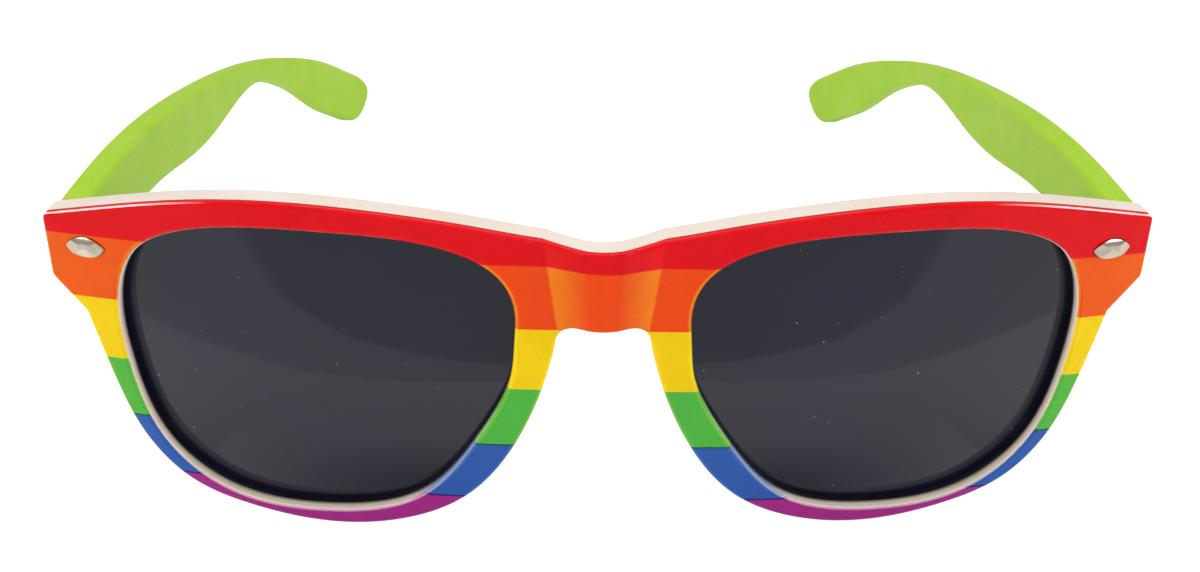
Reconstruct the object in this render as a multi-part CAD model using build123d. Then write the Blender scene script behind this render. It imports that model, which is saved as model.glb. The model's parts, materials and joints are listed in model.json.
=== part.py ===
from build123d import *
import os
from math import asin, atan2, cos, degrees, radians, sin, sqrt

# Novelty glasses with a striped face, dark lenses and folding arms.
# Built in the wearer's frame: +X to the wearer's left, +Y from the face plane back
# to the ears, +Z up, with the arms' tops about level. Millimetres.
# At the end the whole thing is leaned so that the two rims and the two ear tips
# rest on one plane, with the origin in the middle of the box on that plane.

# Front: overall shape
half_width = 73.9            # middle to the widest point of an end piece
face_height = 50.1           # brow line's highest point to the rims' lowest
brow_rise = 3.5              # brow line's highest point above the end pieces' level
face_tilt = 6.0              # degrees, top of the face forward of the vertical
face_radius = 242.0          # wrap of the face, seen from above
face_flat_half = 7.0         # half of the part in the middle that is not wrapped
front_thickness = 4.4        # face to back of the rims

# Front: rims
lens_gap = 22.4              # between the two lens openings
side_rim = 8.7               # opening to the end piece's widest point
brow_bar = 3.6               # brow line's highest point to the opening
lower_rim = 2.2              # opening to the rims' lowest
nose_rim = 5.36              # opening to the upper corner of the nose arch
arch_side = 4.15             # height of the nose arch's straight side

# Front: end pieces
brow_dip = 1.0               # brow line's centre below the end pieces' level
brow_corner_drop = 1.0       # upper corner below the same level
end_drop = 10.2              # lower corner below the same level
end_taper_in = 4.06          # lower corner to where the rim starts, inward
end_taper_drop = 4.94        # and downward

# Front: bridge
crease_half_top = 7.9        # crease beside the bridge, at the end pieces' level
crease_half_low = 1.58       # the same crease carried on to the rims' lowest
bridge_facet_half = 2.6      # half of the flat middle facet
bridge_facet_step = 2.4      # middle facet's edge in front of the crease
bridge_crown = 0.35          # crown of the middle facet
crease_blend = 1.2           # radius that softens the creases
facet_blend = 2.5            # radius that softens the facet's edges

# Front: printed facing and moulded body
facing_thickness = 0.9
facing_edge_round = 0.45     # outer edge of the facing
facing_rim_round = 0.6       # edge of the facing round each lens
body_edge_round = 0.7        # rear edge all round the body
rim_edge_round = 0.3         # rear edge of the lens openings
corner_round = 1.1           # upper corner of an end piece, seen from the front
end_round = 1.3              # lower corner of an end piece
arch_round = 3.2             # corners of the nose arch

# Lenses and films
lens_depth = 2.6             # face to lens
lens_thickness = 1.1
lens_bite = 0.7              # how far the lens's edge goes into its groove
groove_clearance = 0.05
film_thickness = 0.15
film_margin = 0.6            # film's edge inside the opening

# Nose pads, moulded on the body
pad_height = 15.0
pad_width = 4.4
pad_reach = 5.6              # how far a pad stands out behind the body
pad_inset = 0.6              # opening's nose side to the pad's middle
pad_lean = 19.0              # degrees, pad's long axis from the vertical
pad_splay = 2.0              # pad's rear end, outward from its root

# Lugs that carry the hinges
lug_inset = 0.6              # end piece's widest point to the lug's outer side
lug_width = 4.2
lug_reach = 0.47             # lug's rear behind the rear of the end piece
lug_top = 0.1
lug_height = 6.9
lug_root = 2.17              # face to where the lug starts, inside the end piece
lug_flare = 2.4              # radius of the hollow between lug and body
lug_edge_round = 0.7

# Rivet heads on the end pieces
rivet_length = 5.6
rivet_height = 2.9
rivet_inset = 5.9            # end piece's widest point to the rivet's middle
rivet_raise = 0.4            # rivet above the middle of the end piece's side
rivet_rise = 0.5             # crown above the face
rivet_seat = 0.45            # depth of the head's recess in the facing
rivet_edge = 0.12            # height of the head's edge above the face
rivet_clearance = 0.08
peg_diameter = 1.0
peg_length = 2.6
peg_spacing = 2.4

# Hinges
hinge_axis_inset = 1.6       # lug's inner side to the hinge axis
hinge_height = 4.4
hinge_drop = 1.2             # lug's top to the hinge's top
knuckle_diameter = 2.3
middle_knuckle_height = 1.7
knuckle_gap = 0.05
leaf_thickness = 0.8
leaf_gap = 0.12              # leaf's web behind or before the joint plane
front_leaf_depth = 3.6
temple_leaf_length = 9.0
leaf_tooth = 0.35            # depth of the notches that hold a leaf in the plastic
leaf_clearance = 0.03
barrel_clearance = 0.2
screw_diameter = 1.3
screw_clearance = 0.05
screw_head_diameter = 2.1
screw_head_height = 0.6
screw_slot_width = 0.3
screw_slot_depth = 0.25

# Temples
temple_gap = 0.15            # lug to temple
temple_length = 146.0        # joint plane to the end of the ear tip
temple_thickness = 4.2
temple_tip_thickness = 3.2
temple_straight = 50.0       # flat outer side before the arm bows in
temple_bow = 15.0            # how far the ear tip lies in from that side
temple_drop = 25.6           # joint level to the ear tip's lowest point
temple_edge_round = 0.9
temple_root_step = 0.2       # temple's root lower edge above the lug's

# One overrun serves every cut and blank
overrun = 6.0

# Brow line, as shares of the half width and of the brow's rise above the centre
brow_shares = [(0.22, 0.48), (0.386, 0.845), (0.556, 1.0), (0.735, 0.82)]
brow_corner_share = 0.994
brow_corner_slope_share = 0.22

# Lower line of one side, from the nose to the end piece, as shares of the way from the
# opening's nose side to the end piece's foot and of the depth from there to the lowest
lower_shares = [
    (-0.080, 0.048), (-0.0525, 0.237), (0.0045, 0.496), (0.139, 0.822), (0.288, 0.956),
    (0.466, 1.0), (0.6685, 0.947), (0.807, 0.845), (0.915, 0.608), (0.967, 0.299),
    (0.9875, 0.119),
]

# Lens opening, as shares of its width from the nose side and of its height
opening_shares = [
    (0.006, 0.30), (0.066, 0.105), (0.20, 0.033), (0.438, 0.003), (0.63, 0.003),
    (0.80, 0.032), (0.92, 0.105), (0.99, 0.28), (0.994, 0.50), (0.924, 0.805),
    (0.795, 0.945), (0.52, 1.0), (0.27, 0.925), (0.11, 0.70), (0.024, 0.49),
]

# Points that carry the opening's outline outward or inward
outline_steps = 48

# How near an edge runs to an outline, and to its depth, to count as the outline's own,
# as shares of the facing's thickness
edge_match_share = 0.06
depth_match_share = 0.33

# Sections of a nose pad: share of its reach, of its width and of its height
pad_section_shares = [(0, 0.92, 0.95), (0.5, 0.86, 0.92), (0.88, 0.70, 0.78), (1, 0.40, 0.56)]
pad_root_share = 0.5
pad_drop_share = 0.517       # pad's middle below the opening's top, of its height

# Notches in the hinge leaves, as shares of their lengths
front_notch_share = 0.67
temple_notch_shares = [0.4, 0.75]

# Side view of a temple, as shares of its length and of its drop
temple_top_shares = [
    (0.13, 0.09), (0.25, 0.109), (0.41, 0.066), (0.58, -0.010), (0.72, -0.133),
    (0.86, -0.352), (0.945, -0.555),
]
temple_end_share = (1.0, -0.80)
temple_low_share = (0.962, -1.0)
temple_bottom_shares = [
    (0.905, -0.930), (0.835, -0.750), (0.74, -0.440), (0.66, -0.262), (0.59, -0.178),
    (0.52, -0.204), (0.44, -0.281), (0.355, -0.316), (0.24, -0.281),
]
temple_rise_share = 0.16
temple_fall_share = 0.02

# Steps that find the lean at which the whole thing stands
settling_rounds = 6


# Face surface
def wing_depth(x):
    """How far the face lies back at a distance x from the middle."""
    side = max(abs(x) - face_flat_half, 0)
    return face_radius - sqrt(face_radius**2 - side**2)


# Sizes and places that follow from the values above
lowest_z = brow_rise - face_height
end_foot_x = half_width - end_taper_in
end_foot_z = -end_drop - end_taper_drop
opening_left = lens_gap / 2
opening_width = half_width - side_rim - opening_left
opening_top = brow_rise - brow_bar
opening_height = face_height - brow_bar - lower_rim
pad_centre_x = opening_left - pad_inset
pad_centre_z = opening_top - opening_height * pad_drop_share
rivet_x = half_width - rivet_inset
rivet_z = rivet_raise - (brow_corner_drop + end_drop) / 2
lug_outer_x = half_width - lug_inset
lug_root_y = wing_depth(half_width) + lug_root
lug_rear_y = wing_depth(half_width) + front_thickness + lug_reach


def crease_half(z):
    return crease_half_top - (crease_half_top - crease_half_low) * z / lowest_z


def surface_y(x, z):
    """The face's y in its own frame, without the soft blends beside the facets."""
    crease = crease_half(z)
    if abs(x) >= crease:
        return wing_depth(x)
    facet = bridge_facet_half * crease / crease_half_top
    step = bridge_facet_step * crease / crease_half_top
    if abs(x) > facet:
        return -step * (crease - abs(x)) / (crease - facet)
    return -step - bridge_crown * (1 - (x / facet)**2)


def half_section(z, near, far):
    """Half of a level cut through the front, between two depths behind the face."""
    crease = crease_half(z)
    facet = bridge_facet_half * crease / crease_half_top
    step = bridge_facet_step * crease / crease_half_top
    end = half_width + overrun
    middle = (crease + end) / 2

    def line(depth):
        apex = (0, depth - step - bridge_crown)
        crown = (facet / 2, depth - step - bridge_crown * 3 / 4)
        edge = (facet, depth - step)
        root = (crease, depth + wing_depth(crease))
        wing = (middle, depth + wing_depth(middle))
        tip = (end, depth + wing_depth(end))
        return apex, crown, edge, root, wing, tip

    front, back = line(near), line(far)
    edges = [ThreePointArc(front[0], front[1], front[2]), Line(front[2], front[3])]
    edges += [ThreePointArc(front[3], front[4], front[5]), Line(front[5], back[5])]
    edges += [ThreePointArc(back[5], back[4], back[3]), Line(back[3], back[2])]
    edges += [ThreePointArc(back[2], back[1], back[0]), Line(back[0], front[0])]
    half = make_face(edges)
    shrink = crease / crease_half_top
    for line_points in (front, back):
        half = round_at(half, line_points[2], facet_blend * shrink)
        half = round_at(half, line_points[3], crease_blend * shrink)
    return Pos(0, 0, z) * half


def face_band(near, far):
    """A sheet that follows the face, between two depths behind it."""
    top = brow_rise + overrun
    bottom = lowest_z - overrun
    half = loft([half_section(top, near, far), half_section(bottom, near, far)], ruled=True)
    return half + mirror(half, Plane.YZ)


# Outlines, drawn on the face plane
def front_outline():
    """Half of the front seen square to the face, then mirrored."""
    brow = brow_rise + brow_dip
    start = (0, -brow_dip)
    top = [(half_width * a, brow * b - brow_dip) for a, b in brow_shares]
    corner = (half_width * brow_corner_share, -brow_corner_drop)
    low = (half_width, -end_drop)
    lower = [
        (opening_left + (end_foot_x - opening_left) * a, end_foot_z + (lowest_z - end_foot_z) * b)
        for a, b in reversed(lower_shares)
    ]
    arch = (opening_left - nose_rim, lower[-1][1] + arch_side)
    arch_middle = (0, arch[1])
    half = make_face([
        Spline(start, *top, corner, tangents=[(1, 0), (1, -brow_corner_slope_share)]),
        Line(corner, low),
        Line(low, (end_foot_x, end_foot_z)),
        Spline((end_foot_x, end_foot_z), *lower),
        Line(lower[-1], arch),
        Line(arch, arch_middle),
        Line(arch_middle, start),
    ])
    half = round_at(half, corner, corner_round)
    half = round_at(half, low, end_round)
    half = round_at(half, arch, arch_round)
    return Plane.XZ * (half + mirror(half, Plane.YZ))


def round_at(face, place, radius):
    """Round the corner of a flat face that lies nearest to a place."""
    corner = face.vertices().sort_by_distance(Vector(*place))[0]
    return fillet(corner, radius)


def opening_outline(grow):
    """The lens opening on the +X side, made larger or smaller all round."""
    points = [
        (opening_left + opening_width * a, opening_top - opening_height * b)
        for a, b in opening_shares
    ]
    rim = Spline(*points, periodic=True)
    if grow:
        places = [step / outline_steps for step in range(outline_steps)]
        rim = Spline(*[rim @ u + outward(rim % u) * grow for u in places], periodic=True)
    return Plane.XZ * make_face(rim)


def outward(tangent):
    """Square to an outline that runs clockwise, away from what it encloses."""
    return Vector(-tangent.Y, tangent.X)


def through(outline):
    """An outline on the face plane, carried through the front from before to behind."""
    return extrude(outline, amount=half_width, both=True)


def both_sides(shape):
    return shape + mirror(shape, Plane.YZ)


def tilted(shape):
    """From the face's own frame, where the face stands upright, to the wearer's."""
    return Rot(face_tilt, 0, 0) * shape


def edges_along(shape, outline, depth):
    """Edges of a shape that follow an outline at one depth behind the face."""
    wire = outline.faces()[0].outer_wire()
    found = []
    for edge in shape.edges():
        middle = edge @ 0.5
        beside = wire.distance_to(Vertex(middle.X, 0, middle.Z))
        below = abs(middle.Y - surface_y(middle.X, middle.Z) - depth)
        near = facing_thickness * edge_match_share, facing_thickness * depth_match_share
        if beside < near[0] and below < near[1]:
            found.append(edge)
    return ShapeList(found)


# Front pieces
def front_facing():
    outline = front_outline()
    opening = opening_outline(0)
    plate = face_band(0, facing_thickness) & through(outline)
    plate = fillet(edges_along(plate, outline, 0), facing_edge_round)
    plate -= both_sides(through(opening))
    for side in (opening, mirror(opening, Plane.YZ)):
        plate = fillet(edges_along(plate, side, 0), facing_rim_round)
    plate -= both_sides(rivet_recess())
    return tilted(plate)


def nose_pad():
    """A moulded pad behind the rim's nose side, its rear end splayed outward."""
    back = wing_depth(pad_centre_x) + front_thickness
    root = back - (front_thickness - lens_depth - lens_thickness) * pad_root_share
    sections = []
    for share, width_share, height_share in pad_section_shares:
        centre_x = pad_centre_x + pad_splay * share
        level = Plane(origin=(centre_x, root + (back + pad_reach - root) * share, pad_centre_z),
                      x_dir=(1, 0, 0), z_dir=(0, 1, 0))
        sections.append(level * Rot(0, 0, -pad_lean)
                        * Ellipse(pad_width / 2 * width_share, pad_height / 2 * height_share))
    return loft(sections)


def lens_groove():
    near = lens_depth - groove_clearance
    far = lens_depth + lens_thickness + groove_clearance
    return face_band(near, far) & through(opening_outline(lens_bite + groove_clearance))


def lug():
    """The block behind an end piece that carries the hinge, in the wearer's frame."""
    inner = lug_outer_x - lug_width
    hollow_y = lug_rear_y - lug_flare
    plan = make_face([
        Line((lug_outer_x, lug_root_y), (lug_outer_x, lug_rear_y)),
        Line((lug_outer_x, lug_rear_y), (inner, lug_rear_y)),
        RadiusArc((inner, lug_rear_y), (inner - lug_flare, hollow_y), -lug_flare),
        Line((inner - lug_flare, hollow_y), (inner - lug_flare, lug_root_y)),
        Line((inner - lug_flare, lug_root_y), (lug_outer_x, lug_root_y)),
    ])
    block = Pos(0, 0, lug_top - lug_height) * extrude(plan, amount=lug_height)
    outer = block.faces().sort_by(Axis.X)[-1].edges().filter_by(Axis.Y)
    return fillet(outer, lug_edge_round)


def front_frame():
    outline = front_outline()
    opening = opening_outline(0)
    slab = face_band(facing_thickness, front_thickness) & through(outline)
    slab = fillet(edges_along(slab, outline, front_thickness), body_edge_round)
    slab -= both_sides(through(opening))
    for side in (opening, mirror(opening, Plane.YZ)):
        slab = fillet(edges_along(slab, side, front_thickness), rim_edge_round)
    slab -= both_sides(lens_groove())
    slab += both_sides(nose_pad())
    frame = tilted(slab) + both_sides(lug())
    frame -= both_sides(tilted(rivet_pegs(leaf_clearance)))
    frame -= both_sides(front_leaf_plate(leaf_clearance))
    frame -= both_sides(front_leaf_web(hinge_top() - hinge_height, hinge_height, leaf_clearance))
    return frame - both_sides(barrel_room())


# Lenses
def lens():
    sheet = face_band(lens_depth, lens_depth + lens_thickness)
    return tilted(sheet & through(opening_outline(lens_bite)))


def diffraction_film():
    front = lens_depth + lens_thickness
    sheet = face_band(front, front + film_thickness)
    return tilted(sheet & through(opening_outline(-film_margin)))


# Rivets, in the face's own frame
def rivet_plane():
    """On the face at a rivet's middle, with its normal out of the face."""
    turn = asin((rivet_x - face_flat_half) / face_radius)
    return Plane(origin=(rivet_x, wing_depth(rivet_x), rivet_z),
                 x_dir=(cos(turn), sin(turn), 0), z_dir=(sin(turn), -cos(turn), 0))


def almond(grow):
    half_length = rivet_length / 2 + grow
    half_height = rivet_height / 2 + grow
    return make_face([
        ThreePointArc((-half_length, 0), (0, half_height), (half_length, 0)),
        ThreePointArc((half_length, 0), (0, -half_height), (-half_length, 0)),
    ])


def crown_radius(half_chord):
    """Radius of an arc that drops from the crown to the edge over half a chord."""
    drop = rivet_rise - rivet_edge
    return (half_chord**2 + drop**2) / (2 * drop)


def rivet_pegs(grow):
    pegs = []
    for side in (-1, 1):
        peg = Cylinder(peg_diameter / 2 + grow, peg_length + grow,
                       align=(Align.CENTER, Align.CENTER, Align.MAX))
        pegs.append(rivet_plane() * Pos(side * peg_spacing / 2, 0, -rivet_seat) * peg)
    return pegs[0] + pegs[1]


def rivet_recess():
    pocket = extrude(almond(rivet_clearance), amount=rivet_seat + rivet_rise)
    return rivet_plane() * Pos(0, 0, -rivet_seat) * pocket + rivet_pegs(leaf_clearance)


def rivet():
    head = Pos(0, 0, -rivet_seat) * extrude(almond(0), amount=rivet_seat + rivet_rise)
    long_radius = crown_radius(rivet_length / 2)
    short_radius = crown_radius(rivet_height / 2)
    along = Rot(90, 0, 0) * Cylinder(long_radius, rivet_length)
    across = Rot(0, 90, 0) * Cylinder(short_radius, rivet_length * 2)
    head &= Pos(0, 0, rivet_rise - long_radius) * along
    head &= Pos(0, 0, rivet_rise - short_radius) * across
    return tilted(rivet_plane() * head + rivet_pegs(0))


# Hinges, in the wearer's frame
def hinge_x():
    return lug_outer_x - lug_width - hinge_axis_inset


def hinge_y():
    return lug_rear_y + temple_gap / 2


def hinge_top():
    return lug_top - hinge_drop


def outer_knuckle_height():
    return (hinge_height - middle_knuckle_height) / 2 - knuckle_gap


def block(x_range, y_range, z_range):
    """A box between pairs of planes."""
    size = [high - low for low, high in (x_range, y_range, z_range)]
    centre = [(high + low) / 2 for low, high in (x_range, y_range, z_range)]
    return Pos(*centre) * Box(*size)


def barrel(diameter, bottom, height):
    return Pos(hinge_x(), hinge_y(), bottom) * Cylinder(
        diameter / 2, height, align=(Align.CENTER, Align.CENTER, Align.MIN))


def screw_bore():
    return barrel(screw_diameter + 2 * screw_clearance, hinge_top() - hinge_height - overrun,
                  hinge_height + 2 * overrun)


def barrel_room():
    """What the front and the temple leave free round the knuckles."""
    bottom = hinge_top() - hinge_height - barrel_clearance
    return barrel(knuckle_diameter + 2 * barrel_clearance, bottom,
                  hinge_height + screw_head_height + 2 * barrel_clearance)


def front_leaf_plate(grow):
    """The leaf's tongue, which stands in the lug, with a notch above and below."""
    rear = hinge_y() - knuckle_diameter / 2 - barrel_clearance
    start = hinge_x() - knuckle_diameter / 2
    end = hinge_x() + hinge_axis_inset + front_leaf_depth
    top, bottom = hinge_top(), hinge_top() - hinge_height
    plate = block((start - grow, end + grow), (rear - leaf_thickness - grow, rear + grow),
                  (bottom - grow, top + grow))
    notch_x = hinge_x() + hinge_axis_inset + front_leaf_depth * front_notch_share
    notch = leaf_tooth - grow
    for z in (top, bottom):
        plate -= block((notch_x - leaf_tooth, notch_x + leaf_tooth),
                       (rear - leaf_thickness - overrun, rear + overrun), (z - notch, z + notch))
    return plate


def front_knuckle_bottoms():
    return hinge_top() - outer_knuckle_height(), hinge_top() - hinge_height


def front_leaf_web(bottom, height, grow):
    """What joins the front's knuckles to the tongue, over one stretch of the hinge's height."""
    rear = hinge_y() - knuckle_diameter / 2 - barrel_clearance
    return block((hinge_x() - knuckle_diameter / 2 - grow, hinge_x() + grow),
                 (rear - leaf_thickness - grow, hinge_y()),
                 (bottom - grow, bottom + height + grow))


def front_hinge_leaf():
    """Tongue in the lug, and an upper and a lower knuckle that stand out of it."""
    leaf = front_leaf_plate(0)
    for bottom in front_knuckle_bottoms():
        leaf += front_leaf_web(bottom, outer_knuckle_height(), 0)
        leaf += barrel(knuckle_diameter, bottom, outer_knuckle_height())
    return leaf - screw_bore()


def temple_leaf_plate(grow):
    """The tongue in the temple, with notches that the plastic fills."""
    middle_x = lug_outer_x - lug_width / 2
    front = hinge_y() + temple_gap / 2 + leaf_gap
    end = front + temple_leaf_length
    top, bottom = hinge_top(), hinge_top() - hinge_height
    plate = block((middle_x - leaf_thickness / 2 - grow, middle_x + leaf_thickness / 2 + grow),
                  (front - grow, end + grow), (bottom - grow, top + grow))
    notch = leaf_tooth - grow
    for share in temple_notch_shares:
        y = front + temple_leaf_length * share
        for z in (top, bottom):
            plate -= block((middle_x - leaf_thickness * 2, middle_x + leaf_thickness * 2),
                           (y - leaf_tooth, y + leaf_tooth), (z - notch, z + notch))
    return plate


def temple_leaf_web(grow):
    """The arm from the middle knuckle to the tongue."""
    middle_x = lug_outer_x - lug_width / 2
    front = hinge_y() + temple_gap / 2 + leaf_gap
    bottom = hinge_top() - outer_knuckle_height() - knuckle_gap - middle_knuckle_height
    return block((hinge_x(), middle_x), (front - grow, hinge_y() + knuckle_diameter / 2 + grow),
                 (bottom - grow, bottom + middle_knuckle_height + grow))


def temple_hinge_leaf():
    bottom = hinge_top() - outer_knuckle_height() - knuckle_gap - middle_knuckle_height
    knuckle = barrel(knuckle_diameter, bottom, middle_knuckle_height)
    return temple_leaf_plate(0) + temple_leaf_web(0) + knuckle - screw_bore()


def hinge_screw():
    shank = barrel(screw_diameter, hinge_top() - hinge_height, hinge_height)
    head = barrel(screw_head_diameter, hinge_top(), screw_head_height)
    slot_top = hinge_top() + screw_head_height
    slot = block((hinge_x() - screw_head_diameter, hinge_x() + screw_head_diameter),
                 (hinge_y() - screw_slot_width / 2, hinge_y() + screw_slot_width / 2),
                 (slot_top - screw_slot_depth, slot_top + overrun))
    return shank + head - slot


# Temples, in the wearer's frame
def temple_plan():
    """Seen from above: straight behind the hinge, then bowed in towards the head."""
    start = lug_rear_y + temple_gap
    bend = start + temple_straight
    end = start + temple_length + overrun
    outer = lug_outer_x
    inner = outer - temple_thickness
    outer_tip = outer - bowed(temple_bow)
    inner_tip = inner - bowed(temple_bow + temple_tip_thickness - temple_thickness)
    return make_face([
        Line((inner, start), (outer, start)),
        Line((outer, start), (outer, bend)),
        TangentArc((outer, bend), (outer_tip, end), tangent=(0, 1)),
        Line((outer_tip, end), (inner_tip, end)),
        TangentArc((inner, bend), (inner_tip, end), tangent=(0, 1)),
        Line((inner, bend), (inner, start)),
    ])


def bowed(bow):
    """How far a side that bows in by so much at the ear tip lies in an overrun further on."""
    reach = temple_length - temple_straight
    radius = (reach**2 + bow**2) / (2 * bow)
    return radius - sqrt(radius**2 - (reach + overrun)**2)


def temple_side():
    """Seen from the side: a wide arm, a narrow neck over the ear and a paddle tip."""
    start = lug_rear_y + temple_gap

    def at(shares):
        return (start + temple_length * shares[0], lug_top + temple_drop * shares[1])

    top = (start, lug_top)
    root = (start, lug_top - lug_height + temple_root_step)
    upper = [at(s) for s in temple_top_shares]
    lower = [at(s) for s in temple_bottom_shares]
    outline = Spline(top, *upper, at(temple_end_share), at(temple_low_share), *lower, root,
                     tangents=[(1, temple_rise_share), (-1, temple_fall_share)])
    return Plane.YZ * make_face([outline, Line(root, top)])


def temple():
    height = temple_drop + 2 * overrun
    plan = Pos(0, 0, lug_top - temple_drop - overrun) * extrude(temple_plan(), amount=height)
    arm = plan & through(temple_side())
    long_edges = arm.edges().filter_by(lambda e: e.length > temple_straight / 4)
    arm = fillet(long_edges, temple_edge_round)
    arm -= temple_leaf_plate(leaf_clearance)
    arm -= temple_leaf_web(leaf_clearance)
    return arm - barrel_room()


# Standing on a table
def lowest(shape, lean):
    return (Rot(-lean, 0, 0) * shape).bounding_box().min.Z


def standing_lean(front, arm):
    """Lean at which the rims and the ear tips touch one level plane, found in a few steps."""
    lean = 0
    reach = lug_rear_y + temple_length
    for _ in range(settling_rounds):
        lean += degrees(atan2(lowest(arm, lean) - lowest(front, lean), reach))
    return lean


def pieces():
    """Every piece in the wearer's frame, the paired ones on both sides."""
    found = {"front_frame": front_frame(), "front_facing": front_facing()}
    makers = {
        "lens": lens,
        "diffraction_film": diffraction_film,
        "rivet": rivet,
        "front_hinge_leaf": front_hinge_leaf,
        "temple_hinge_leaf": temple_hinge_leaf,
        "hinge_screw": hinge_screw,
        "temple": temple,
    }
    for name, maker in makers.items():
        found["left_" + name] = maker()
        found["right_" + name] = mirror(found["left_" + name], Plane.YZ)
    return found


def stand(found):
    """Lean all pieces onto the table, with the origin under the middle of their box."""
    lean = standing_lean(found["front_frame"], found["left_temple"])
    leaned = {name: Rot(-lean, 0, 0) * shape for name, shape in found.items()}
    box = Compound(list(leaned.values())).bounding_box()
    shift = Pos(-box.center().X, -box.center().Y, -box.min.Z)
    hinge = shift * Rot(-lean, 0, 0) * Pos(hinge_x(), hinge_y(), hinge_top() - hinge_height / 2)
    print("lean", round(lean, 4), "size", box.size)
    print("left hinge at", hinge.position, "axis", (0, sin(radians(lean)), cos(radians(lean))))
    print("shift", shift.position)
    return {name: shift * shape for name, shape in leaned.items()}


if __name__ == "__main__":
    os.makedirs("parts", exist_ok=True)
    for name, shape in stand(pieces()).items():
        export_step(shape, "parts/" + name + ".step")
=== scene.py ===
import json
from math import asin, cos, radians, sin, tan, tau

import bpy
from mathutils import Matrix, Vector

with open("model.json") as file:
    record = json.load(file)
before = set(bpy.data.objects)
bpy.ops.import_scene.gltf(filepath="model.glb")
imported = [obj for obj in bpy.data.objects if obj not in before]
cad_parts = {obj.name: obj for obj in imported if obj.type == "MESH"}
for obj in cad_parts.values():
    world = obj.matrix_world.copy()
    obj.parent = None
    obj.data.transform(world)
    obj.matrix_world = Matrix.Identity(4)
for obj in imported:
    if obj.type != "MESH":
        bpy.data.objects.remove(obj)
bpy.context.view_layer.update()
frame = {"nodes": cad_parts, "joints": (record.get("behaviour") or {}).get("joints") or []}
nodes = frame["nodes"]

# Plastic glasses with a striped lacquered face, smoked lenses and green arms, on white
# paper. Lengths are millimetres, turned to metres where Blender takes them.
mm = 0.001

# The wearer's frame: level with the arms' tops, and leaned back a little on the table.
# The hinge's axis is that frame's vertical, and its place gives the frame's origin.
hinge_joint = next(j for j in frame["joints"] if j["name"] == "left_arm_fold")
up = Vector(hinge_joint["axis"])
back = Vector((0, up.z, -up.y))
lean = asin(up.y)
hinge_out = 67.5
hinge_behind_face = 14.376
hinge_below_level = 3.3
level_origin = (
    Vector(hinge_joint["pos_m"])
    - Vector((hinge_out * mm, 0, 0))
    - back * hinge_behind_face * mm
    + up * hinge_below_level * mm
)

# The face: wrapped round the head beyond a flat middle, its top tilted forward
face_tilt = radians(6)
face_radius = 242.0
face_flat_half = 7.0
facing_thickness = 0.9
opening_out = 38.2
opening_below = 22.2

# Walls of the lens openings, by how far they lie behind the face
lens_depth = 2.6
wall_slack = 0.1
shade_span = (1.05, 1.8)     # where painted shade darkens a wall
# Painted shade of the recess, near black, where the walls meet the lens
painted_recess_shade = "#0E0D10"

# Stripes: heights of their boundaries on the level, seen square from the front, and how
# much the print runs down towards the left end piece
stripe_bounds = [-4.08, -13.43, -22.6, -31.7, -40.7]
stripe_skew = radians(1.2)
stripe_span = (-56.0, 8.0)
stripe_waver = 0.14
stripe_names = ["red", "orange", "yellow", "green", "blue", "purple"]
stripe_inks = {
    "red": "#DC0312",
    "orange": "#ED480A",
    "yellow": "#F1CA00",
    "green": "#4CB340",
    "blue": "#2E58A8",
    "purple": "#A12782",
}
# Lighter inks where the film is drawn thin: thinner ink, and painted side light and bevel highlight
stretched_and_lit_inks = {
    "red": "#E60C14",
    "orange": "#F0830F",
    "yellow": "#FDDC08",
    "green": "#74C43C",
    "blue": "#4276C2",
    "purple": "#A8379A",
}

# Two inks lie over one another on the lower edge of these stripes
overprinted = ("green", "blue")
overprint_width = 0.16
overprint_gains = (1.2, 1.6)
overprint_least_blue = 0.05

# The film that carries the print. It is drawn thin where the surface turns from the front, apart
# from the bridge's middle; there lighter inks stand for thinner ink and for painted side light.
stretch_and_light_turn = (0.965, 0.89)
facet_half = 2.0
crease_half = 6.6
stretch_and_light_share = (0.05, 0.9)

# It is drawn into the openings on the nose side, fully to the first of these places
drawn_full = 23.0
drawn_end = 27.0
drawn_share = 0.8

# A painted pale highlight lies on edges that rise about this much: on the rims a little, and on the
# end pieces more and more between these places
painted_highlight_tone = "#FBF1EA"
highlight_rise = 0.62
highlight_rise_slack = 0.22
rim_highlight = 0.35
highlight_start = 50.0
highlight_full = 60.0
end_highlight = 0.8

# It ends in a nicked line, with painted shade, a dark line where the facing meets the body, before
# it on the outside
print_fray = 0.18
outer_print_end = facing_thickness - 0.02
rim_print_end = 0.34
drawn_print_end = facing_thickness + 0.2
seam_shade_start = facing_thickness - 0.16
seam_shade_tone = "#8C1C22"
bare_tone = "#EFDCC8"

# Levels of the stage's sheets: what they show the camera and what gloss picks up. The grey sheets
# and the rims' shade glow in gloss alone, as painted reflections
paper_glow = 0.88
paper_mirror_glow = 0.05
paper_tint = 0.9
paper_camera_tint = 0.3
near_reflection_glow = 0.8
far_reflection_glow = 0.57
shade_levels = (0.9, 0.4)

# Where the painted shade of the rims, a glow seen in mirrors, starts and is deepest, and how far it
# reaches sideways
shade_start = -99.0
shade_end = -80.0
shade_rear = -62.0
shade_half = 64.0
shade_core_half = 26.0


def linear(hex_colour, share=1.0):
    """An sRGB hex colour as linear light, with an opaque alpha."""
    values = []
    for start in (1, 3, 5):
        value = int(hex_colour[start:start + 2], 16) / 255
        value = value / 12.92 if value <= 0.04045 else ((value + 0.055) / 1.055) ** 2.4
        values.append(value * share)
    return (*values, 1.0)


def grey(value):
    return (value, value, value, 1.0)


def per(size):
    """Texture scale at which one feature measures this many millimetres."""
    return 1 / (size * mm)


def set_inputs(tree, node, inputs):
    """Gives a node's inputs values, or links where an input is to follow a socket."""
    for key, value in inputs.items():
        if isinstance(value, bpy.types.NodeSocket):
            tree.links.new(value, node.inputs[key])
        else:
            node.inputs[key].default_value = value


def add(tree, kind, inputs=None, **settings):
    """Adds one node, with its settings and its inputs."""
    node = tree.nodes.new(kind)
    for name, value in settings.items():
        setattr(node, name, value)
    set_inputs(tree, node, inputs or {})
    return node


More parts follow.
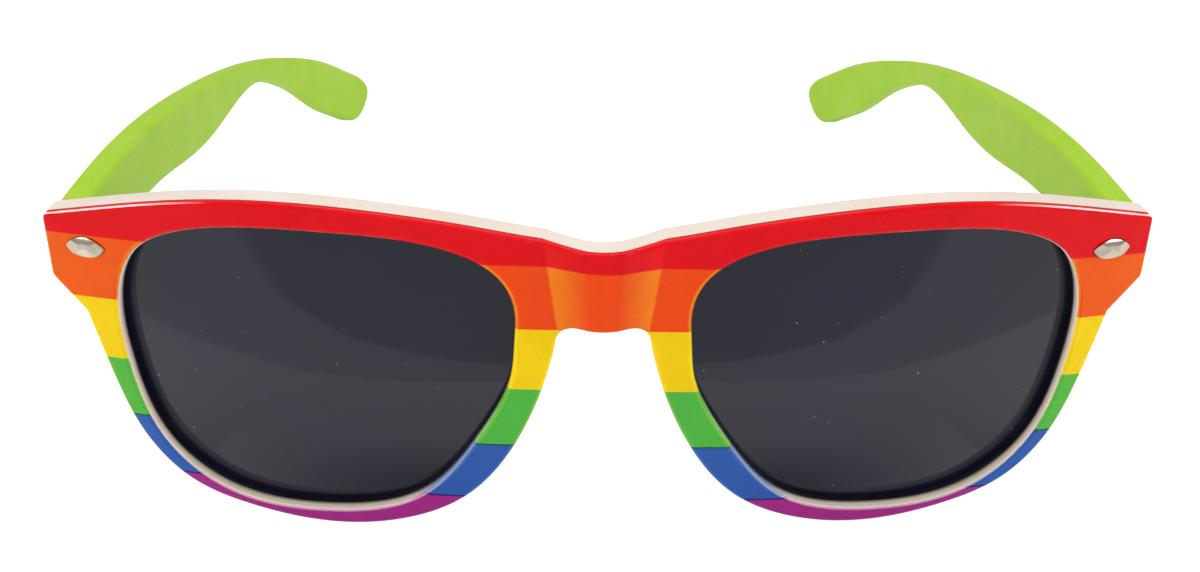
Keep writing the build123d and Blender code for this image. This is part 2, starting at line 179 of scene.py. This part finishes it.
def set_ramp(node, stops, interpolation="LINEAR"):
    """Gives a colour ramp these (position, colour) stops, in rising order."""
    ramp = node.color_ramp
    ramp.interpolation = interpolation
    while len(ramp.elements) < len(stops):
        ramp.elements.new(1.0)
    for element, (position, colour) in zip(ramp.elements, stops):
        element.position = position
        element.color = colour


def new_tree(block):
    """Turns on the nodes of a material or a world and starts with none."""
    block.use_nodes = True
    block.node_tree.nodes.clear()
    return block.node_tree


def new_material(name):
    """A material with its node tree, its object coordinates and its surface shader."""
    material = bpy.data.materials.new(name)
    tree = new_tree(material)
    place = add(tree, "ShaderNodeTexCoord")
    surface = add(tree, "ShaderNodeBsdfPrincipled")
    add(tree, "ShaderNodeOutputMaterial", {"Surface": surface.outputs["BSDF"]})
    return material, tree, place.outputs["Object"], surface


def dress(material, *names):
    """Puts a material on every slot of these nodes."""
    for name in names:
        for material_slot in nodes[name].material_slots:
            material_slot.material = material


def paired(name):
    return ["left_" + name, "right_" + name]


# Places on the glasses
def to_side(tree, where):
    """How far a point lies to the side of the middle plane."""
    split = add(tree, "ShaderNodeSeparateXYZ", {0: where})
    return add(tree, "ShaderNodeMath", {0: split.outputs["X"]}, operation="ABSOLUTE").outputs[0]


def by_nose(tree, side, elsewhere, at_nose):
    """One value on the nose side of an opening, where the print is drawn in, and one elsewhere."""
    change = add(tree, "ShaderNodeMapRange", {
        "Value": side, "From Min": drawn_end * mm, "From Max": drawn_full * mm,
        "To Min": elsewhere, "To Max": at_nose})
    return change.outputs["Result"]


def facing_depth(tree, where):
    """How many millimetres a point lies behind the wrapped face."""
    origin = level_origin / mm
    face_back = (back * cos(face_tilt) + up * sin(face_tilt)).normalized()
    point = add(tree, "ShaderNodeVectorMath", {0: where, 1: (1 / mm,) * 3}, operation="MULTIPLY")
    behind = add(tree, "ShaderNodeVectorMath", {
        0: point.outputs["Vector"], 1: face_back}, operation="DOT_PRODUCT")
    flat = add(tree, "ShaderNodeMath", {
        0: behind.outputs["Value"], 1: origin.dot(face_back)}, operation="SUBTRACT")
    side = to_side(tree, point.outputs["Vector"])
    wing = add(tree, "ShaderNodeMath", {0: side, 1: face_flat_half}, operation="SUBTRACT")
    wing = add(tree, "ShaderNodeMath", {0: wing.outputs[0], 1: 0.0}, operation="MAXIMUM")
    square = add(tree, "ShaderNodeMath", {
        0: wing.outputs[0], 1: wing.outputs[0]}, operation="MULTIPLY")
    rest = add(tree, "ShaderNodeMath", {
        0: face_radius**2, 1: square.outputs[0]}, operation="SUBTRACT")
    root = add(tree, "ShaderNodeMath", {0: rest.outputs[0]}, operation="SQRT")
    sag = add(tree, "ShaderNodeMath", {0: face_radius, 1: root.outputs[0]}, operation="SUBTRACT")
    return add(tree, "ShaderNodeMath", {
        0: flat.outputs[0], 1: sag.outputs[0]}, operation="SUBTRACT").outputs[0]


def inside_opening(tree, where):
    """1 on walls that look towards the middle of a lens opening, 0 on the outer ones."""
    centre = level_origin / mm - up * opening_below
    centre.x = opening_out
    point = add(tree, "ShaderNodeVectorMath", {0: where, 1: (1 / mm,) * 3}, operation="MULTIPLY")
    split = add(tree, "ShaderNodeSeparateXYZ", {0: point.outputs["Vector"]})
    folded = add(tree, "ShaderNodeCombineXYZ", {
        "X": to_side(tree, point.outputs["Vector"]),
        "Y": split.outputs["Y"], "Z": split.outputs["Z"]})
    inward = add(tree, "ShaderNodeVectorMath", {
        0: centre, 1: folded.outputs["Vector"]}, operation="SUBTRACT")
    geometry = add(tree, "ShaderNodeNewGeometry")
    normal = add(tree, "ShaderNodeSeparateXYZ", {0: geometry.outputs["Normal"]})
    sign = add(tree, "ShaderNodeMath", {0: split.outputs["X"]}, operation="SIGN")
    turned = add(tree, "ShaderNodeMath", {
        0: normal.outputs["X"], 1: sign.outputs[0]}, operation="MULTIPLY")
    facing = add(tree, "ShaderNodeCombineXYZ", {
        "X": turned.outputs[0], "Z": normal.outputs["Z"]})
    towards = add(tree, "ShaderNodeVectorMath", {
        0: facing.outputs["Vector"], 1: inward.outputs["Vector"]}, operation="DOT_PRODUCT")
    return add(tree, "ShaderNodeMath", {
        0: towards.outputs["Value"], 1: 0.0}, operation="GREATER_THAN").outputs[0]


# Printed facing
def stripe_share(tree, where):
    """How far up the stripes' span a point lies, from 0 to 1, with a slight waver."""
    wander = add(tree, "ShaderNodeTexNoise", {"Vector": where, "Scale": per(2.5), "Detail": 3.0})
    direction = Vector((tan(stripe_skew), up.y, up.z))
    height = add(tree, "ShaderNodeVectorMath", {
        0: where, 1: direction / mm}, operation="DOT_PRODUCT")
    wavering = add(tree, "ShaderNodeMath", {
        0: wander.outputs["Fac"], 1: stripe_waver, 2: height.outputs["Value"],
    }, operation="MULTIPLY_ADD")
    low, high = stripe_span
    offset = level_origin.dot(direction) / mm
    share = add(tree, "ShaderNodeMapRange", {
        "Value": wavering.outputs[0], "From Min": offset + low, "From Max": offset + high})
    return share.outputs["Result"]


def stripe_ramp(tree, share, inks):
    """The six inks by height, with a thin darker line where two of them overprint."""
    low, high = stripe_span
    names = list(reversed(stripe_names))
    stops = [(0.0, linear(inks[names[0]]))]
    for bound, name, under in zip(reversed(stripe_bounds), names[1:], names):
        at = (bound - low) / (high - low)
        if name in overprinted:
            over_gain, under_gain = overprint_gains
            pairs = zip(linear(inks[name], over_gain), linear(inks[under], under_gain))
            red, green, blue, _ = (a * b for a, b in pairs)
            line = (red, green, max(blue, overprint_least_blue), 1.0)
            stops.append((at - overprint_width / (high - low), line))
        stops.append((at, linear(inks[name])))
    ramp = add(tree, "ShaderNodeValToRGB", {"Fac": share})
    set_ramp(ramp, stops, "CONSTANT")
    return ramp.outputs["Color"]


def lacquered_print():
    """Inks transferred onto moulded ABS and lacquered: flat bright colour under a wet gloss.

    Where the film was drawn over a slant or an edge the ink is thinner and lighter, partly as
    painted side light. Its proud upper edges carry a painted pale highlight, and its end is nicked
    at the back, beside a dark line of painted shade where the facing meets the body.
    """
    material, tree, where, surface = new_material("lacquered_stripe_print_on_abs")
    share = stripe_share(tree, where)
    ink = stripe_ramp(tree, share, stripe_inks)
    thin_and_lit_ink = stripe_ramp(tree, share, stretched_and_lit_inks)

    # Film drawn thin, and painted side light: by how far the surface turns to the side or over an
    # edge
    geometry = add(tree, "ShaderNodeNewGeometry")
    square_to_face = up * sin(face_tilt) - back * cos(face_tilt)
    turn = add(tree, "ShaderNodeVectorMath", {
        0: geometry.outputs["Normal"], 1: square_to_face}, operation="DOT_PRODUCT")
    stretch_and_light = add(tree, "ShaderNodeMapRange", {
        "Value": turn.outputs["Value"],
        "From Min": stretch_and_light_turn[0], "From Max": stretch_and_light_turn[1]})
    side = to_side(tree, where)
    beside = add(tree, "ShaderNodeMapRange", {
        "Value": side, "From Min": facet_half * mm, "From Max": crease_half * mm,
        "To Min": stretch_and_light_share[0], "To Max": stretch_and_light_share[1]})
    stretched_and_lit = add(tree, "ShaderNodeMath", {
        0: stretch_and_light.outputs["Result"], 1: beside.outputs["Result"]}, operation="MULTIPLY")
    printed = add(tree, "ShaderNodeMix", {
        "Factor": stretched_and_lit.outputs[0], 6: ink, 7: thin_and_lit_ink}, data_type="RGBA")

    # Fine uneven ink, in blotches and in grain
    blotch = add(tree, "ShaderNodeTexNoise", {
        "Vector": where, "Scale": per(5.0), "Detail": 4.0, "Roughness": 0.6})
    grain = add(tree, "ShaderNodeTexNoise", {"Vector": where, "Scale": per(0.25), "Detail": 2.0})
    uneven = add(tree, "ShaderNodeMath", {
        0: blotch.outputs["Fac"], 1: grain.outputs["Fac"]}, operation="ADD")
    level = add(tree, "ShaderNodeMapRange", {
        "Value": uneven.outputs[0], "From Min": 0.7, "From Max": 1.3,
        "To Min": 0.93, "To Max": 1.05})
    shaded = add(tree, "ShaderNodeVectorMath", {
        0: printed.outputs[2], "Scale": level.outputs["Result"]}, operation="SCALE")

    # Painted pale highlight on the upper edges, of the end pieces and of the openings' lower rims
    inner = inside_opening(tree, where)
    outside = add(tree, "ShaderNodeMath", {0: 1.0, 1: inner}, operation="SUBTRACT")
    rise = add(tree, "ShaderNodeVectorMath", {
        0: geometry.outputs["Normal"], 1: up}, operation="DOT_PRODUCT")
    edge = add(tree, "ShaderNodeMath", {
        0: rise.outputs["Value"], 1: highlight_rise, 2: highlight_rise_slack}, operation="COMPARE")
    far_out = add(tree, "ShaderNodeMapRange", {
        "Value": side, "From Min": highlight_start * mm, "From Max": highlight_full * mm, "To Max": end_highlight})
    highlight = add(tree, "ShaderNodeMath", {
        0: far_out.outputs["Result"], 1: outside.outputs[0]}, operation="MULTIPLY")
    highlight = add(tree, "ShaderNodeMath", {
        0: inner, 1: rim_highlight, 2: highlight.outputs[0]}, operation="MULTIPLY_ADD")
    highlight = add(tree, "ShaderNodeMath", {0: highlight.outputs[0], 1: edge.outputs[0]}, operation="MULTIPLY")
    highlighted = add(tree, "ShaderNodeMix", {
        "Factor": highlight.outputs[0], 6: shaded.outputs["Vector"], 7: linear(painted_highlight_tone),
    }, data_type="RGBA")

    # Nicked end of the print: at the back outside, and on the rim's round inside
    depth = facing_depth(tree, where)
    ragged = add(tree, "ShaderNodeTexNoise", {
        "Vector": where, "Scale": per(0.6), "Detail": 5.0, "Roughness": 0.7})
    print_end = add(tree, "ShaderNodeMix", {
        "Factor": inner, 2: outer_print_end,
        3: by_nose(tree, side, rim_print_end, drawn_print_end)})
    frayed = add(tree, "ShaderNodeMath", {
        0: ragged.outputs["Fac"], 1: print_fray, 2: depth}, operation="MULTIPLY_ADD")
    bare = add(tree, "ShaderNodeMath", {
        0: frayed.outputs[0], 1: print_end.outputs[0]}, operation="GREATER_THAN")
    # Painted shade where the facing meets the body: a dark line at its back end, outside
    in_seam_shade = add(tree, "ShaderNodeMath", {0: depth, 1: seam_shade_start}, operation="GREATER_THAN")
    seam_shade = add(tree, "ShaderNodeMath", {
        0: in_seam_shade.outputs[0], 1: outside.outputs[0]}, operation="MULTIPLY")
    body = add(tree, "ShaderNodeMix", {
        "Factor": bare.outputs[0], 6: highlighted.outputs[2], 7: linear(bare_tone)}, data_type="RGBA")
    colour = add(tree, "ShaderNodeMix", {
        "Factor": seam_shade.outputs[0], 6: body.outputs[2], 7: linear(seam_shade_tone)}, data_type="RGBA")

    # Orange peel of the lacquer, and the fine scuffs of a pair out of its bag
    peel = add(tree, "ShaderNodeTexNoise", {"Vector": where, "Scale": per(1.8), "Detail": 2.0})
    bump = add(tree, "ShaderNodeBump", {
        "Height": peel.outputs["Fac"], "Strength": 0.08, "Distance": 0.05 * mm})
    scuff = add(tree, "ShaderNodeTexNoise", {
        "Vector": where, "Scale": per(9.0), "Detail": 8.0, "Roughness": 0.7})
    rough = add(tree, "ShaderNodeMapRange", {
        "Value": scuff.outputs["Fac"], "From Min": 0.3, "From Max": 0.75,
        "To Min": 0.22, "To Max": 0.36})
    set_inputs(tree, surface, {
        "Base Color": colour.outputs[2],
        "Roughness": rough.outputs["Result"],
        "Normal": bump.outputs["Normal"],
        "IOR": 1.5,
        "Specular IOR Level": 0.08,
        "Coat Weight": 0.15,
        "Coat Roughness": 0.06,
        "Coat IOR": 1.5,
        "Coat Normal": bump.outputs["Normal"],
    })
    return material


# Moulded plastics
def moulded_cream():
    """ABS dyed cream and injection moulded: a soft waxy gloss, a little light let in.

    Painted shade darkens the walls of the lens openings where they meet the lens, the shade of the
    recess.
    On the nose side the print is drawn in over them, pale from the film's stretching and a painted
    bevel highlight.
    """
    material, tree, where, surface = new_material("injection_moulded_cream_abs")
    cloud = add(tree, "ShaderNodeTexNoise", {
        "Vector": where, "Scale": per(12.0), "Detail": 5.0, "Roughness": 0.6})
    tone = add(tree, "ShaderNodeValToRGB", {"Fac": cloud.outputs["Fac"]})
    set_ramp(tone, [(0.3, linear("#EDDBCB")), (0.7, linear("#F5E8DC"))])

    # Painted shade: the openings' walls darken with depth towards the lens
    depth = facing_depth(tree, where)
    shade = add(tree, "ShaderNodeMapRange", {
        "Value": depth, "From Min": shade_span[0], "From Max": shade_span[1]})
    before_lens = add(tree, "ShaderNodeMath", {
        0: depth, 1: lens_depth + wall_slack}, operation="LESS_THAN")
    wall = add(tree, "ShaderNodeMath", {
        0: inside_opening(tree, where), 1: before_lens.outputs[0]}, operation="MULTIPLY")
    painted_shade = add(tree, "ShaderNodeMath", {
        0: shade.outputs["Result"], 1: wall.outputs[0]}, operation="MULTIPLY")
    # Print drawn in on the nose side in the lighter inks, partly a painted bevel highlight
    drawn = stripe_ramp(tree, stripe_share(tree, where), stretched_and_lit_inks)
    drawn_in = add(tree, "ShaderNodeMath", {
        0: by_nose(tree, to_side(tree, where), 0.0, drawn_share), 1: wall.outputs[0],
    }, operation="MULTIPLY")
    plastic = add(tree, "ShaderNodeMix", {
        "Factor": drawn_in.outputs[0], 6: tone.outputs["Color"], 7: drawn}, data_type="RGBA")
    colour = add(tree, "ShaderNodeMix", {
        "Factor": painted_shade.outputs[0], 6: plastic.outputs[2], 7: linear(painted_recess_shade),
    }, data_type="RGBA")

    grain = add(tree, "ShaderNodeTexNoise", {"Vector": where, "Scale": per(0.35), "Detail": 3.0})
    bump = add(tree, "ShaderNodeBump", {
        "Height": grain.outputs["Fac"], "Strength": 0.12, "Distance": 0.04 * mm})
    wear = add(tree, "ShaderNodeTexNoise", {"Vector": where, "Scale": per(4.0), "Detail": 6.0})
    rough = add(tree, "ShaderNodeMapRange", {
        "Value": wear.outputs["Fac"], "From Min": 0.3, "From Max": 0.7,
        "To Min": 0.3, "To Max": 0.42})
    set_inputs(tree, surface, {
        "Base Color": colour.outputs[2],
        "Roughness": rough.outputs["Result"],
        "Normal": bump.outputs["Normal"],
        "IOR": 1.53,
        "Subsurface Weight": 0.15,
        "Subsurface Radius": (1.0, 0.7, 0.5),
        "Subsurface Scale": 0.8 * mm,
    })
    return material


def moulded_green():
    """ABS dyed light green, moulded in a finely etched tool: an even satin, faintly mottled."""
    material, tree, where, surface = new_material("injection_moulded_green_abs")
    cloud = add(tree, "ShaderNodeTexNoise", {
        "Vector": where, "Scale": per(9.0), "Detail": 6.0, "Roughness": 0.65})
    tone = add(tree, "ShaderNodeValToRGB", {"Fac": cloud.outputs["Fac"]})
    set_ramp(tone, [(0.3, linear("#A0CF20")), (0.72, linear("#AED43A"))])
    speck = add(tree, "ShaderNodeTexNoise", {"Vector": where, "Scale": per(0.5), "Detail": 3.0})
    level = add(tree, "ShaderNodeMapRange", {
        "Value": speck.outputs["Fac"], "From Min": 0.3, "From Max": 0.7,
        "To Min": 0.95, "To Max": 1.04})
    shaded = add(tree, "ShaderNodeVectorMath", {
        0: tone.outputs["Color"], "Scale": level.outputs["Result"]}, operation="SCALE")
    etch = add(tree, "ShaderNodeTexNoise", {"Vector": where, "Scale": per(0.3), "Detail": 3.0})
    bump = add(tree, "ShaderNodeBump", {
        "Height": etch.outputs["Fac"], "Strength": 0.2, "Distance": 0.05 * mm})
    wear = add(tree, "ShaderNodeTexNoise", {"Vector": where, "Scale": per(14.0), "Detail": 6.0})
    rough = add(tree, "ShaderNodeMapRange", {
        "Value": wear.outputs["Fac"], "From Min": 0.3, "From Max": 0.7,
        "To Min": 0.42, "To Max": 0.55})
    set_inputs(tree, surface, {
        "Base Color": shaded.outputs["Vector"],
        "Roughness": rough.outputs["Result"],
        "Normal": bump.outputs["Normal"],
        "IOR": 1.53,
        "Specular IOR Level": 0.25,
        "Subsurface Weight": 0.1,
        "Subsurface Radius": (0.6, 1.0, 0.3),
        "Subsurface Scale": 0.8 * mm,
    })
    return material


# Lenses and films
def smoked_lens():
    """Polycarbonate dyed smoke grey: almost black, and only what it mirrors shows.

    Settled dust and hair scratches lie on it. The dust is real grit of a few tenths
    of a millimetre, a speck here and there.
    """
    material, tree, where, surface = new_material("smoked_polycarbonate")
    cell = 2.0
    grit = 0.17
    field = add(tree, "ShaderNodeTexVoronoi", {"Vector": where, "Scale": per(cell)})
    reach = add(tree, "ShaderNodeSeparateColor", {0: field.outputs["Color"]})
    size = add(tree, "ShaderNodeMapRange", {
        "Value": reach.outputs["Red"], "From Min": 0.5, "To Min": 0.0, "To Max": grit / cell})
    speck = add(tree, "ShaderNodeMath", {
        0: field.outputs["Distance"], 1: size.outputs["Result"]}, operation="LESS_THAN")

    hair = add(tree, "ShaderNodeMapping", {
        "Vector": where, "Rotation": (0.3, 0.9, 0.4), "Scale": (1.0, 1.0, 0.06)})
    lines = add(tree, "ShaderNodeTexVoronoi", {
        "Vector": hair.outputs["Vector"], "Scale": per(4.0)})
    pick = add(tree, "ShaderNodeSeparateColor", {0: lines.outputs["Color"]})
    thin = add(tree, "ShaderNodeMapRange", {
        "Value": pick.outputs["Green"], "From Min": 0.8, "To Min": 0.0, "To Max": 0.012})
    scratch = add(tree, "ShaderNodeMath", {
        0: lines.outputs["Distance"], 1: thin.outputs["Result"]}, operation="LESS_THAN")
    marks = add(tree, "ShaderNodeMath", {
        0: speck.outputs[0], 1: scratch.outputs[0]}, operation="MAXIMUM")

    haze = add(tree, "ShaderNodeTexNoise", {
        "Vector": where, "Scale": per(20.0), "Detail": 6.0, "Roughness": 0.65})
    film = add(tree, "ShaderNodeValToRGB", {"Fac": haze.outputs["Fac"]})
    set_ramp(film, [(0.35, linear("#0A0922")), (0.7, linear("#0F0E29"))])
    colour = add(tree, "ShaderNodeMix", {
        "Factor": marks.outputs[0], 6: film.outputs["Color"], 7: linear("#75747D"),
    }, data_type="RGBA")
    rough = add(tree, "ShaderNodeMapRange", {
        "Value": haze.outputs["Fac"], "From Min": 0.3, "From Max": 0.75,
        "To Min": 0.05, "To Max": 0.1})
    set_inputs(tree, surface, {
        "Base Color": colour.outputs[2],
        "Roughness": rough.outputs["Result"],
        "IOR": 1.585,
    })
    return material


def embossed_film():
    """Thin polyester film with a fine embossed grid: a pale sheen that turns to colours.

    The grid is some 2 microns apart and is drawn at a millimetre and a half to show.
    """
    material, tree, where, surface = new_material("embossed_polyester_film")
    wave_period = tau / 20       # what the wave node's bands measure at scale 1
    ridges = [
        add(tree, "ShaderNodeTexWave", {
            "Vector": where, "Scale": wave_period * per(tau / 4), "Distortion": 0.2,
        }, bands_direction=axis)
        for axis in ("X", "Z")
    ]
    grid = add(tree, "ShaderNodeMath", {
        i: ridge.outputs["Fac"] for i, ridge in enumerate(ridges)}, operation="ADD")
    bump = add(tree, "ShaderNodeBump", {
        "Height": grid.outputs[0], "Strength": 0.05, "Distance": 0.02 * mm})
    cloud = add(tree, "ShaderNodeTexNoise", {"Vector": where, "Scale": per(15.0), "Detail": 3.0})
    tone = add(tree, "ShaderNodeValToRGB", {"Fac": cloud.outputs["Fac"]})
    set_ramp(tone, [(0.3, linear("#3A3D46")), (0.7, linear("#4C505B"))])
    set_inputs(tree, surface, {
        "Base Color": tone.outputs["Color"],
        "Roughness": 0.12,
        "Normal": bump.outputs["Normal"],
        "IOR": 1.64,
        "Thin Film Thickness": 520.0,
        "Thin Film IOR": 1.33,
    })
    return material


# Metals
def plated_metal(name, dark, light, grain, low, high, streak):
    """Plated metal: its tone drifts between two values, and fine marks roughen its gloss."""
    material, tree, place, surface = new_material(name)
    drawn_out = add(tree, "ShaderNodeMapping", {"Vector": place, "Scale": streak})
    where = drawn_out.outputs["Vector"]
    cloud = add(tree, "ShaderNodeTexNoise", {
        "Vector": where, "Scale": per(grain * 6), "Detail": 4.0})
    tone = add(tree, "ShaderNodeValToRGB", {"Fac": cloud.outputs["Fac"]})
    set_ramp(tone, [(0.3, linear(dark)), (0.7, linear(light))])
    marks = add(tree, "ShaderNodeTexNoise", {
        "Vector": where, "Scale": per(grain), "Detail": 5.0, "Roughness": 0.65})
    rough = add(tree, "ShaderNodeMapRange", {
        "Value": marks.outputs["Fac"], "From Min": 0.3, "From Max": 0.7,
        "To Min": low, "To Max": high})
    bump = add(tree, "ShaderNodeBump", {
        "Height": marks.outputs["Fac"], "Strength": 0.1, "Distance": 0.01 * mm})
    set_inputs(tree, surface, {
        "Base Color": tone.outputs["Color"],
        "Metallic": 1.0,
        "Roughness": rough.outputs["Result"],
        "Normal": bump.outputs["Normal"],
    })
    return material


def polished_rivet():
    """Nickel-plated brass, barrel polished: a warm mirror with soft marks."""
    return plated_metal(
        "polished_nickel_plate", "#C6BAA6", "#E2D8C6", 0.3, 0.1, 0.17, (1, 1, 1))


def stamped_leaf():
    """Nickel-plated steel strip, stamped and tumbled: a grey, evenly dulled gloss."""
    return plated_metal(
        "tumbled_nickel_plate", "#9A9892", "#B7B5AE", 0.4, 0.3, 0.42, (1, 1, 4))


def turned_screw():
    """Bright steel turned on a lathe: fine rings round the head and the shank."""
    return plated_metal(
        "turned_bright_steel", "#A3A09A", "#C2BFB8", 0.15, 0.2, 0.32, (1, 1, 8))


# Stage
def glowing(name, level):
    """A material that gives off white, at a level or at what a function adds to its tree."""
    material = bpy.data.materials.new(name)
    tree = new_tree(material)
    strength = level(tree) if callable(level) else level
    tone = add(tree, "ShaderNodeEmission", {"Color": grey(1.0), "Strength": strength})
    add(tree, "ShaderNodeOutputMaterial", {"Surface": tone.outputs[0]})
    return material


def white_paper():
    """White paper under soft light, with a pale shadow on it.

    The camera sees its white mostly as a glow, so that it stays white. Gloss picks up
    a little more than the light that falls on it.
    """
    material = bpy.data.materials.new("white_seamless_paper")
    tree = new_tree(material)
    rays = add(tree, "ShaderNodeLightPath")
    tint = add(tree, "ShaderNodeMapRange", {
        "Value": rays.outputs["Is Camera Ray"],
        "To Min": paper_tint, "To Max": paper_camera_tint})
    glow = add(tree, "ShaderNodeMath", {
        0: rays.outputs["Is Glossy Ray"], 1: paper_mirror_glow}, operation="MULTIPLY")
    glow = add(tree, "ShaderNodeMath", {
        0: rays.outputs["Is Camera Ray"], 1: paper_glow, 2: glow.outputs[0],
    }, operation="MULTIPLY_ADD")
    tone = add(tree, "ShaderNodeCombineColor", {i: tint.outputs["Result"] for i in range(3)})
    paper = add(tree, "ShaderNodeBsdfDiffuse", {"Color": tone.outputs["Color"]})
    light = add(tree, "ShaderNodeEmission", {"Color": grey(1.0), "Strength": glow.outputs[0]})
    white = add(tree, "ShaderNodeAddShader", {0: paper.outputs[0], 1: light.outputs[0]})
    add(tree, "ShaderNodeOutputMaterial", {"Surface": white.outputs[0]})
    return material


def painted_rims_shade(tree):
    """The glow's level close under the rims, painted shade: dimmer the nearer it is to them."""
    place = add(tree, "ShaderNodeTexCoord").outputs["Object"]
    split = add(tree, "ShaderNodeSeparateXYZ", {0: place})
    near = add(tree, "ShaderNodeMapRange", {
        "Value": split.outputs["Y"], "From Min": shade_start * mm, "From Max": shade_end * mm,
    }, interpolation_type="SMOOTHSTEP")
    inner = add(tree, "ShaderNodeMapRange", {
        "Value": to_side(tree, place),
        "From Min": shade_half * mm, "From Max": shade_core_half * mm,
    }, interpolation_type="SMOOTHSTEP")
    both = add(tree, "ShaderNodeMath", {
        0: near.outputs["Result"], 1: inner.outputs["Result"]}, operation="MULTIPLY")
    level = add(tree, "ShaderNodeMapRange", {
        "Value": both.outputs[0], "To Min": shade_levels[0], "To Max": shade_levels[1]})
    return level.outputs["Result"]


def flat_shape(name, corners, height, material):
    """A level sheet with these corners, in millimetres."""
    mesh = bpy.data.meshes.new(name)
    points = [(x * mm, y * mm, height * mm) for x, y in corners]
    mesh.from_pydata(points, [], [range(len(points))])
    mesh.materials.append(material)
    sheet = bpy.data.objects.new(name, mesh)
    bpy.context.scene.collection.objects.link(sheet)
    return sheet


def oblong(half, front, rear):
    return [(-half, front), (half, front), (half, rear), (-half, rear)]


def lay_floor():
    half = 4000.0
    flat_shape("paper", oblong(half, -half, half), -0.05, white_paper())


def lay_painted_reflections():
    """Two grey sheets that glow in front of the glasses, as painted reflections: the lenses
    mirror their edges as curved tones.

    They and the strip of painted shade under the rims show in gloss and mirrors alone.
    """
    reach = 900.0
    near = [(-reach, -reach), (reach, -reach), (reach, -104.0), (60.0, -108.0),
            (0.0, -116.0), (-60.0, -108.0), (-reach, -104.0)]
    half = [(reach * 0.6, -reach), (170.0, -215.0), (106.0, -154.0), (78.0, -131.0),
            (56.0, -122.0), (30.0, -119.0)]
    far = half + [(-x, y) for x, y in reversed(half)]
    strip = oblong(shade_half, shade_start, shade_rear)
    sheets = [
        flat_shape("near_painted_reflection", near, 0.3, glowing("mid_grey_painted_reflection", near_reflection_glow)),
        flat_shape("far_painted_reflection", far, 0.6, glowing("dark_grey_painted_reflection", far_reflection_glow)),
        flat_shape("painted_rims_shade_sheet", strip, 0.2, glowing("painted_rims_shade_glow", painted_rims_shade)),
    ]
    for sheet in sheets:
        sheet.visible_camera = False
        sheet.visible_diffuse = False
        sheet.visible_transmission = False
        sheet.visible_shadow = False


# Light
def soft_box(name, place, aim, width, height, power):
    """An oblong soft light, in millimetres, that faces a point."""
    lamp = bpy.data.lights.new(name, "AREA")
    lamp.shape = "RECTANGLE"
    lamp.size = width * mm
    lamp.size_y = height * mm
    lamp.energy = power
    box = bpy.data.objects.new(name, lamp)
    box.location = Vector(place) * mm
    box.rotation_euler = (Vector(aim) - Vector(place)).to_track_quat("-Z", "Y").to_euler()
    bpy.context.scene.collection.objects.link(box)
    return box


def light_studio():
    """Even grey air that the camera sees as white, and four soft boxes."""
    air_level = 0.4
    world = bpy.data.worlds.new("studio")
    tree = new_tree(world)
    rays = add(tree, "ShaderNodeLightPath")
    air = add(tree, "ShaderNodeBackground", {"Color": grey(1.0), "Strength": air_level})
    white = add(tree, "ShaderNodeBackground", {"Color": grey(1.0), "Strength": 1.0})
    mix = add(tree, "ShaderNodeMixShader", {
        0: rays.outputs["Is Camera Ray"], 1: air.outputs[0], 2: white.outputs[0]})
    add(tree, "ShaderNodeOutputWorld", {"Surface": mix.outputs[0]})
    bpy.context.scene.world = world
    middle = (0, -40, 25)
    for name, side in (("left_box", 1), ("right_box", -1)):
        soft_box(name, (side * 640, -330, 330), middle, 300, 300, 1.9)
    soft_box("top_box", (0, 180, 700), middle, 500, 400, 2.1)
    soft_box("front_box", (0, -700, 420), middle, 600, 300, 0.95)


# Camera: found from the photograph in the wearer's frame, then leaned with the glasses
def place_camera():
    eye = (-3.93, -143.99, 53.81)
    pitch = radians(22.675)
    yaw = radians(1.347)
    roll = radians(0.566)
    focal_share = 1229.5 / 1200      # focal length over the picture's width
    camera = bpy.data.cameras.new("camera")
    camera.sensor_fit = "HORIZONTAL"
    camera.lens = camera.sensor_width * focal_share
    camera.clip_start = 5 * mm
    camera.dof.use_dof = False
    holder = bpy.data.objects.new("camera", camera)
    place = level_origin + (Vector((1, 0, 0)) * eye[0] + back * eye[1] + up * eye[2]) * mm
    turn = (
        Matrix.Rotation(-lean, 4, "X")
        @ Matrix.Rotation(-yaw, 4, "Z")
        @ Matrix.Rotation(radians(90) - pitch, 4, "X")
        @ Matrix.Rotation(roll, 4, "Z")
    )
    holder.matrix_world = Matrix.Translation(place) @ turn
    bpy.context.scene.collection.objects.link(holder)
    bpy.context.scene.camera = holder


dress(lacquered_print(), "front_facing")
dress(moulded_cream(), "front_frame")
dress(moulded_green(), *paired("temple"))
dress(smoked_lens(), *paired("lens"))
dress(embossed_film(), *paired("diffraction_film"))
dress(polished_rivet(), *paired("rivet"))
dress(stamped_leaf(), *paired("front_hinge_leaf"), *paired("temple_hinge_leaf"))
dress(turned_screw(), *paired("hinge_screw"))
lay_floor()
lay_painted_reflections()
light_studio()
place_camera()
bpy.context.scene.view_settings.view_transform = "Standard"
